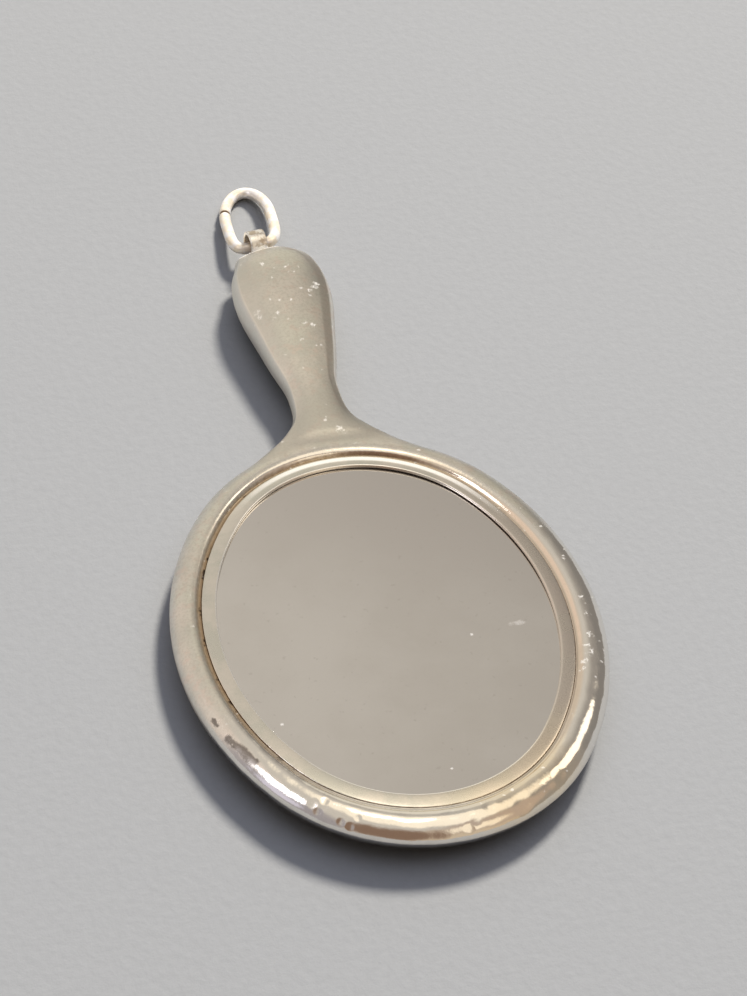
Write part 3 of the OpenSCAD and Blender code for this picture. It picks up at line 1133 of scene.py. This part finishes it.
# Floor and light
stage = {
    "floorSize": 3000,
    "floorColour": (0.275, 0.277, 0.272),
    "floorNoise": (1.6, 4, 0.6),
    "floorGrain": 0.06,        # how much darker and paler than its colour the floor's grain is
    "floorRoughness": 0.8,
    "floorBump": (0.3, 0.12),
    # the soft light from above that fills the floor's shadows
    "airFrom": (0.25, 0.50, 0.83),
    "airSpan": (0.35, 0.97),
    "airDark": (0.025, 0.03, 0.04),
    "airBright": (1.05, 1.11, 1.36),
    # what the metal reflects: a room that is brighter on the left than on the right
    "roomLeft": (0.62, 0.57, 0.505),
    "roomRight": (0.32, 0.29, 0.26),
    "roomSpan": (0.0, 0.6),
    # and soft panels in it: direction, where each starts and is full (as a cosine), colour
    "panels": [
        ((-0.80, 0.35, 0.40), 0.80, 0.93, (0.76, 0.66, 0.58)),
        ((0.85, 0.50, 0.05), 0.78, 0.93, (0.24, 0.22, 0.20)),
        ((0.15, 0.93, 0.30), 0.91, 0.965, (0.78, 0.72, 0.61)),
        ((-0.90, -0.35, 0.15), 0.80, 0.95, (0.36, 0.33, 0.34)),
        ((0.25, -0.93, 0.25), 0.80, 0.92, (0.62, 0.50, 0.37)),
        ((-0.25, -0.87, 0.42), 0.85, 0.96, (0.24, 0.155, 0.11)),
        ((0.12, -0.04, 0.99), 0.86, 0.93, (1.10, 0.98, 0.80)),
        ((0.05, 0.08, 0.99), 0.985, 0.995, (2.2, 2.0, 1.7)),
        ((0.55, -0.60, 0.58), 0.86, 0.95, (0.50, 0.40, 0.33)),
        ((0.40, -0.73, 0.55), 0.965, 0.985, (1.05, 0.90, 0.70)),
        ((0.68, 0.18, 0.71), 0.972, 0.984, (1.7, 1.5, 1.25)),
        ((-0.93, -0.26, 0.25), 0.975, 0.99, (0.70, 0.66, 0.76)),
        ((-0.78, -0.14, 0.60), 0.977, 0.987, (3.0, 2.9, 3.0)),
    ],
    "keyFrom": (0.42, 0.613, 0.669),
    "keyDistance": 1500,
    "keySize": 270,
    "keyPower": 45,
    "keyColour": (1, 0.955, 0.885),
}


def makeFloor():
    s = stage["floorSize"] / 2
    corners = [(-s, -s, 0), (s, -s, 0), (s, s, 0), (-s, s, 0)]
    floor = makeObject("floor", corners, [(0, 1, 2, 3)], smooth=False)
    f = Shader("paleFloor")
    grain = f.noise(f.place(), *stage["floorNoise"])
    dark = [c * (1 - stage["floorGrain"]) for c in stage["floorColour"]]
    pale = [c * (1 + stage["floorGrain"]) for c in stage["floorColour"]]
    colour = f.mix(grain, dark, pale)
    relief = f.bump(grain, *stage["floorBump"])
    dress(floor, f.finish({"Base Color": colour, "Roughness": stage["floorRoughness"], "Normal": relief}))


def makeRoom():
    room = Shader("room", world=True)
    way = room.add("ShaderNodeTexCoord", take="Generated")
    onRight = room.towards(way, (1, 0, 0), *stage["roomSpan"])
    colour = room.mix(onRight, stage["roomLeft"], stage["roomRight"])
    for direction, start, full, panelColour in stage["panels"]:
        facing = room.towards(way, Vector(direction).normalized(), start, full)
        colour = room.mix(facing, colour, panelColour)
    above = room.towards(way, Vector(stage["airFrom"]).normalized(), *stage["airSpan"])
    air = room.mix(above, stage["airDark"], stage["airBright"])
    diffuse = room.add("ShaderNodeLightPath", take="Is Diffuse Ray")
    colour = room.mix(diffuse, colour, air)
    sky = room.add("ShaderNodeBackground", None, {"Color": colour})
    room.add("ShaderNodeOutputWorld", None, {"Surface": sky})
    bpy.context.scene.world = room.material


def makeKey():
    data = bpy.data.lights.new("key", "AREA")
    data.shape = "DISK"
    data.size = stage["keySize"] * mm
    data.energy = stage["keyPower"]
    data.color = stage["keyColour"]
    key = bpy.data.objects.new("key", data)
    away = Vector(stage["keyFrom"]).normalized()
    key.location = (Vector((0, headY, 0)) + away * stage["keyDistance"]) * mm
    key.rotation_mode = "QUATERNION"
    key.rotation_quaternion = away.to_track_quat("Z", "Y")
    key.visible_glossy = False
    bpy.context.collection.objects.link(key)


makeFloor()
makeRoom()
makeKey()
bpy.context.scene.view_settings.view_transform = "Standard"
print("floor and light made")

for piece, node, slotName in (
    (silverFrame, "handle_frame", "satin_silver"),
    (bezelBand, "bezel", "polished_silver"),
    (bentRing, "jump_ring", "bright_silver"),
):
    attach(piece, "root")
    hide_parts(node)
